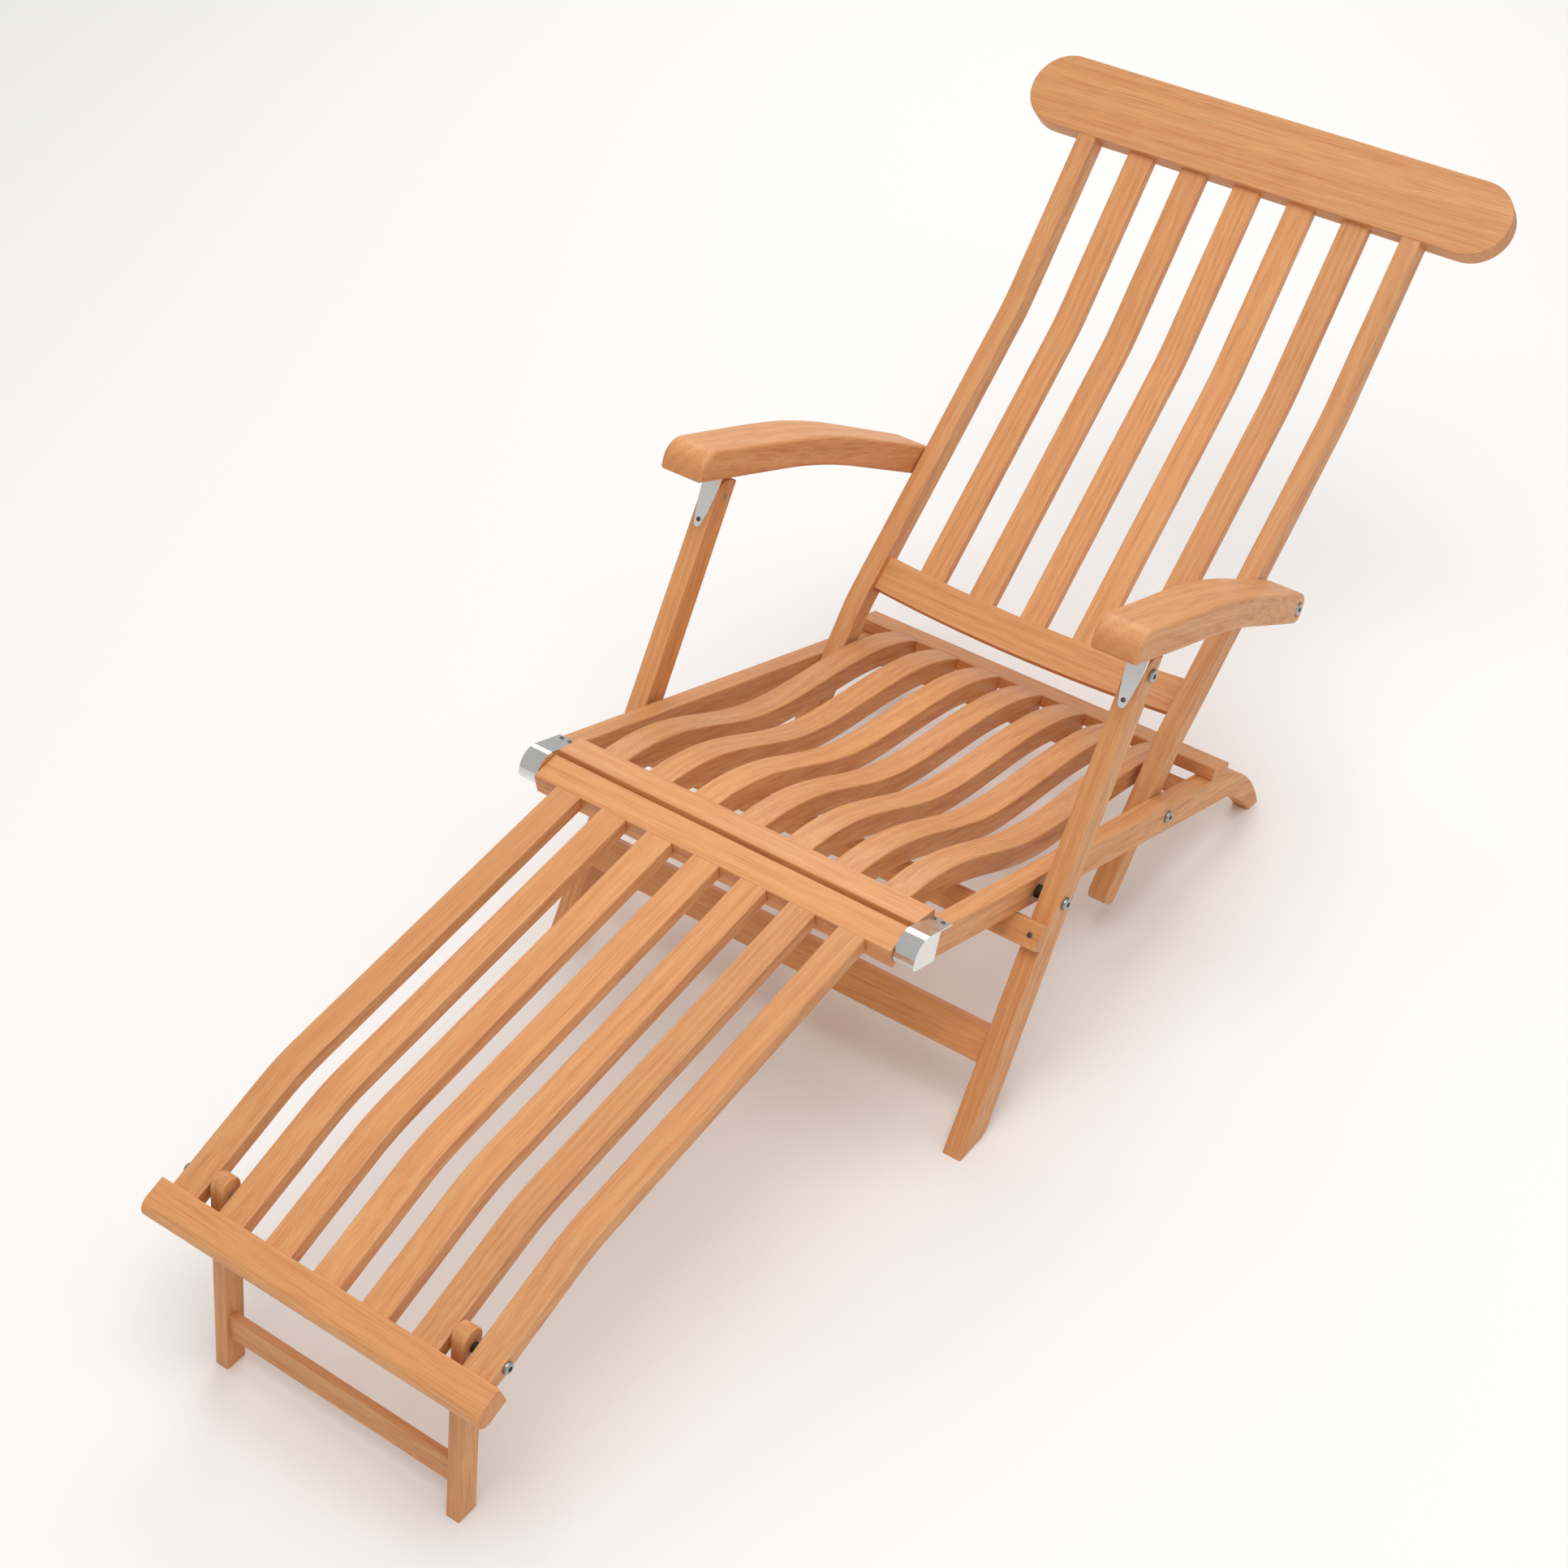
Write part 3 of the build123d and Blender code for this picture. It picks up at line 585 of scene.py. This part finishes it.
def screw_places(node: str, slope: float) -> list[Matrix]:
    """Find where the screws of a CAD node sit.

    Args:
        node: Name of the node.
        slope: Rise towards the head end of the face that the heads sit on, in degrees.

    Returns:
        Transform from each screw's own frame, where its head stands on the origin.
    """
    turn = Matrix.Rotation(math.radians(slope), 4, "X")
    upright = [turn.inverted() @ vert.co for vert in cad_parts[node].data.vertices]
    levels = [point.z for point in upright]
    tip, top = min(levels), max(levels)
    seat = max(level for level in levels if level < top - SAME_LEVEL)
    ends = sorted((point for point in upright if point.z < tip + SAME_LEVEL), key=lambda point: point.x)
    shanks = [[ends[0]]]
    for before, point in zip(ends, ends[1:]):
        if point.x - before.x > SHANK_GAP:
            shanks.append([])
        shanks[-1].append(point)
    places = []
    for shank in shanks:
        rises = [point.y for point in shank]
        middle = ((shank[0].x + shank[-1].x) / 2, (min(rises) + max(rises)) / 2, seat)
        places.append(turn @ Matrix.Translation(middle))
    return places


@dataclass
class CrossScrew:
    """Small pan-head wood screw with a cross recess."""

    radius: float = 3.2 * MM
    height: float = 1.6 * MM
    shank: float = 1.6 * MM
    length: float = 12 * MM
    recess: float = 0.9 * MM
    dome: float = 0.8  # share of the head's height that is rounded
    dome_segments: int = 3
    rim: float = 0.12  # flat rim round the recess, over the head's radius
    waist: float = 0.45  # recess between its arms, over its reach
    sides: int = 16

    def build(self, name: str, places: list[Matrix]) -> bpy.types.Object:
        """Make a group of screws as one mesh.

        Args:
            name: Name of the group.
            places: Transform from each screw's own frame.

        Returns:
            The group's object.
        """
        mesh = bpy.data.meshes.new(name)
        group = bmesh.new()
        for place in places:
            self._add(group, place)
        group.to_mesh(mesh)
        group.free()
        screws = bpy.data.objects.new(name, mesh)
        bpy.context.scene.collection.objects.link(screws)
        return screws

    def _add(self, group: bmesh.types.BMesh, place: Matrix) -> None:
        """Add one screw: a domed head, its cross recess and a plain shank.

        Args:
            group: Mesh that the screw joins.
            place: Transform from the screw's own frame.
        """
        one = bmesh.new()
        bmesh.ops.create_circle(one, cap_ends=True, segments=self.sides, radius=self.radius)
        base = one.faces[:]
        sides = bmesh.ops.extrude_face_region(one, geom=base)
        top = [v for v in sides["geom"] if isinstance(v, bmesh.types.BMVert)]
        bmesh.ops.translate(one, vec=(0, 0, self.height), verts=top)
        rim = [e for e in one.edges if all(v in top for v in e.verts)]
        bmesh.ops.bevel(
            one,
            geom=rim,
            offset=self.height * self.dome,
            segments=self.dome_segments,
            profile=0.5,
            affect="EDGES",
            material=-1,
        )
        crown = max(one.faces, key=lambda f: f.calc_center_median().z)
        bmesh.ops.inset_region(one, faces=[crown], thickness=self.radius * self.rim)
        for vert in crown.verts:
            spoke = round(math.degrees(math.atan2(vert.co.y, vert.co.x)) / (360 / self.sides))
            if spoke % (self.sides // 4):
                vert.co.xy *= self.waist
        pocket = bmesh.ops.extrude_discrete_faces(one, faces=[crown])
        floor = pocket["faces"][0]
        bmesh.ops.translate(one, vec=(0, 0, -self.recess), verts=floor.verts[:])
        under = min(one.faces, key=lambda f: f.calc_center_median().z)
        bmesh.ops.inset_region(one, faces=[under], thickness=self.radius - self.shank)
        shank = bmesh.ops.extrude_discrete_faces(one, faces=[under])
        bmesh.ops.translate(one, vec=(0, 0, -self.length), verts=shank["faces"][0].verts[:])
        bmesh.ops.recalc_face_normals(one, faces=one.faces[:])
        bmesh.ops.transform(one, matrix=place, verts=one.verts[:])
        piece = bpy.data.meshes.new("screw")
        one.to_mesh(piece)
        one.free()
        group.from_mesh(piece)
        bpy.data.meshes.remove(piece)


def fit_screws(screws: bpy.types.Object, body: str, finish: bpy.types.Material) -> None:
    """Dress a group of screws and let it stand for its CAD node.

    Args:
        screws: The group, named after its node with a suffix.
        body: Body that it moves with.
        finish: Its metal.
    """
    screws.data.materials.append(finish)
    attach(screws, body)
    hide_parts(screws.name.removesuffix("_cross"))
    log.info("%s rides on %s", screws.name, body)


@dataclass
class Seat:
    """Sloping rails, cross boards, shaped slats, metal caps and the pivots' steel."""

    slope: float = -18.9
    slats: int = 7
    cap_screw: CrossScrew = field(default_factory=lambda: CrossScrew(radius=2.6 * MM, height=1.0 * MM))

    def build(self, finishes: Finishes) -> None:
        """Make the caps' screws."""
        places = screw_places("rail_cap_screws", self.slope)
        screws = self.cap_screw.build("rail_cap_screws_cross", places)
        fit_screws(screws, "seat", finishes.screw)

    def dress(self, finishes: Finishes) -> None:
        """Give the seat its wood, polished caps and bolts."""
        along = Grain(Run.SIDE, self.slope)
        for node in pair("seat_rail") + row("seat_slat", self.slats):
            wear(node, finishes.teak.material(node, along))
        for node in ("seat_front_board", "seat_rear_batten", "slat_support_strip"):
            wear(node, finishes.teak.material(node, Grain(Run.ACROSS)))
        for node in pair("rail_cap"):
            wear(node, finishes.polished)
        for node in ("back_pivot_bolts", "leg_pivot_bolts", "footrest_hinge_pins"):
            wear(node, finishes.bolt)
        wear("leg_spacers", finishes.nylon)


@dataclass
class Backrest:
    """Bent stiles and slats, lower rail and round-ended headrest board."""

    stile_slope: float = 41.0
    slats: int = 5

    def dress(self, finishes: Finishes) -> None:
        """Give the back its wood and the arms' bolts their steel."""
        along = Grain(Run.SIDE, self.stile_slope)
        for node in pair("back_stile") + row("back_slat", self.slats):
            wear(node, finishes.teak.material(node, along))
        for node in ("headrest_board", "lower_back_rail"):
            wear(node, finishes.teak.material(node, Grain(Run.ACROSS)))
        wear("arm_bolts", finishes.bolt)


@dataclass
class Arms:
    """Pair of bent arms with round fronts."""

    slope: float = -25.0
    fineness: tuple[float, float] = (0.8, 0.3)  # coarser across, as the arms bend in plan too

    def dress(self, finishes: Finishes) -> None:
        """Give the arms their wood."""
        along = Grain(Run.SIDE, self.slope, self.fineness)
        for node in pair("arm"):
            wear(node, finishes.teak.material(node, along))


@dataclass
class FrontLegs:
    """Crossed front legs with their boards, straps and screws."""

    slope: float = 56.2
    strap_screw: CrossScrew = field(default_factory=lambda: CrossScrew(radius=2.8 * MM, height=1.2 * MM))
    board_screw: CrossScrew = field(default_factory=CrossScrew)

    def build(self, finishes: Finishes) -> None:
        """Make the straps' and the crossboard's screws."""
        places = screw_places("strap_screws", self.slope)
        strap = self.strap_screw.build("strap_screws_cross", places)
        fit_screws(strap, "front_legs", finishes.screw)
        places = screw_places("crossboard_screws", self.slope)
        board = self.board_screw.build("crossboard_screws_cross", places)
        fit_screws(board, "front_legs", finishes.screw)

    def dress(self, finishes: Finishes) -> None:
        """Give the legs their wood, straps and bolts."""
        for node in pair("front_leg"):
            wear(node, finishes.teak.material(node, Grain(Run.SIDE, self.slope)))
        for node in ("upper_crossboard", "lower_stretcher"):
            wear(node, finishes.teak.material(node, Grain(Run.ACROSS)))
        for node in pair("leg_strap"):
            wear(node, finishes.strap)
        wear("leg_top_bolts", finishes.bolt)


@dataclass
class Footrest:
    """Hinged footrest: top board, bent members and slats, and a bullnosed end rail."""

    slope: float = 10.0
    slats: int = 5

    def dress(self, finishes: Finishes) -> None:
        """Give the footrest its wood, bolts and spacers."""
        for node in pair("footrest_member") + row("footrest_slat", self.slats):
            wear(node, finishes.teak.material(node, Grain(Run.SIDE, self.slope)))
        for node in ("footrest_top_board", "footrest_end_rail"):
            wear(node, finishes.teak.material(node, Grain(Run.ACROSS)))
        wear("footrest_leg_bolts", finishes.bolt)
        wear("footrest_leg_spacers", finishes.nylon)


@dataclass
class FootrestLegs:
    """Short folding legs under the footrest's end."""

    slope: float = 81.6

    def dress(self, finishes: Finishes) -> None:
        """Give the short legs their wood."""
        for node in pair("footrest_leg"):
            wear(node, finishes.teak.material(node, Grain(Run.SIDE, self.slope)))
        stretcher = "footrest_leg_stretcher"
        wear(stretcher, finishes.teak.material(stretcher, Grain(Run.ACROSS)))


@dataclass(frozen=True)
class SoftBox:
    """Square softbox that looks at the chair.

    Attributes:
        name: Name of the light.
        place: Its centre.
        size: Length of its side.
        power: Watts.
    """

    name: str
    place: tuple[float, float, float]
    size: float
    power: float

    def hang(self, target: Vector) -> None:
        """Hang the light so that it looks at the target."""
        lamp = bpy.data.lights.new(self.name, "AREA")
        lamp.size = self.size
        lamp.energy = self.power
        box = bpy.data.objects.new(self.name, lamp)
        box.location = self.place
        box.rotation_euler = (target - Vector(self.place)).to_track_quat("-Z", "Y").to_euler()
        bpy.context.scene.collection.objects.link(box)


@dataclass
class Studio:
    """Pale floor, soft light and the camera at the photograph's viewpoint."""

    camera_place: tuple[float, float, float] = (1.323, -1.9324, 2.2051)
    azimuth: float = 36.3
    elevation: float = 40.0
    focal_px: float = 3433.17
    image_px: float = 1932.0
    sensor: float = 36.0
    floor_size: float = 14.0
    floor_colour: str = "#f4f3f1"
    floor_roughness: float = 0.9
    floor_sheen: float = 0.1
    sky_strength: float = 0.53
    target: Vector = field(default_factory=lambda: Vector((0, 0, 0.3)))
    lights: tuple[SoftBox, ...] = (
        SoftBox("key", (0.6, -1.0, 3.8), 2.6, 78.0),
        SoftBox("fill", (2.4, 0.4, 1.5), 2.4, 5.0),
        SoftBox("rim", (-1.4, 2.8, 2.9), 2.6, 50.0),
    )

    def build(self) -> None:
        """Set up floor, light and camera."""
        self._floor()
        for light in self.lights:
            light.hang(self.target)
        world = bpy.data.worlds.new("white_room")
        world.use_nodes = True
        sky = world.node_tree.nodes["Background"]
        sky.inputs["Color"].default_value = (1, 1, 1, 1)
        sky.inputs["Strength"].default_value = self.sky_strength
        bpy.context.scene.world = world
        bpy.context.scene.view_settings.view_transform = "Standard"
        self._camera()

    def _floor(self) -> None:
        """Make a wide pale floor."""
        mesh = bpy.data.meshes.new("floor")
        shape = bmesh.new()
        bmesh.ops.create_grid(shape, x_segments=1, y_segments=1, size=self.floor_size / 2)
        shape.to_mesh(mesh)
        shape.free()
        floor = bpy.data.objects.new("floor", mesh)
        bpy.context.scene.collection.objects.link(floor)
        material, _, shader = new_material("matt_white_paper")
        shader.inputs["Base Color"].default_value = linear(self.floor_colour)
        shader.inputs["Roughness"].default_value = self.floor_roughness
        shader.inputs["Specular IOR Level"].default_value = self.floor_sheen
        mesh.materials.append(material)

    def _camera(self) -> None:
        """Stand the camera where the photograph was taken from."""
        data = bpy.data.cameras.new("camera")
        data.sensor_width = self.sensor
        data.lens = self.sensor * self.focal_px / self.image_px
        camera = bpy.data.objects.new("camera", data)
        camera.location = self.camera_place
        camera.rotation_euler = (math.radians(90 - self.elevation), 0, math.radians(self.azimuth))
        bpy.context.scene.collection.objects.link(camera)
        bpy.context.scene.camera = camera


def main() -> None:
    """Build and dress the chair and set up the studio."""
    logging.basicConfig(level=logging.INFO, format="%(message)s")
    finishes = Finishes()
    seat, legs = Seat(), FrontLegs()
    for assembly in (seat, legs):
        assembly.build(finishes)
    for assembly in (seat, Backrest(), Arms(), legs, Footrest(), FootrestLegs()):
        assembly.dress(finishes)
    Studio().build()


if __name__ == "__main__":
    main()
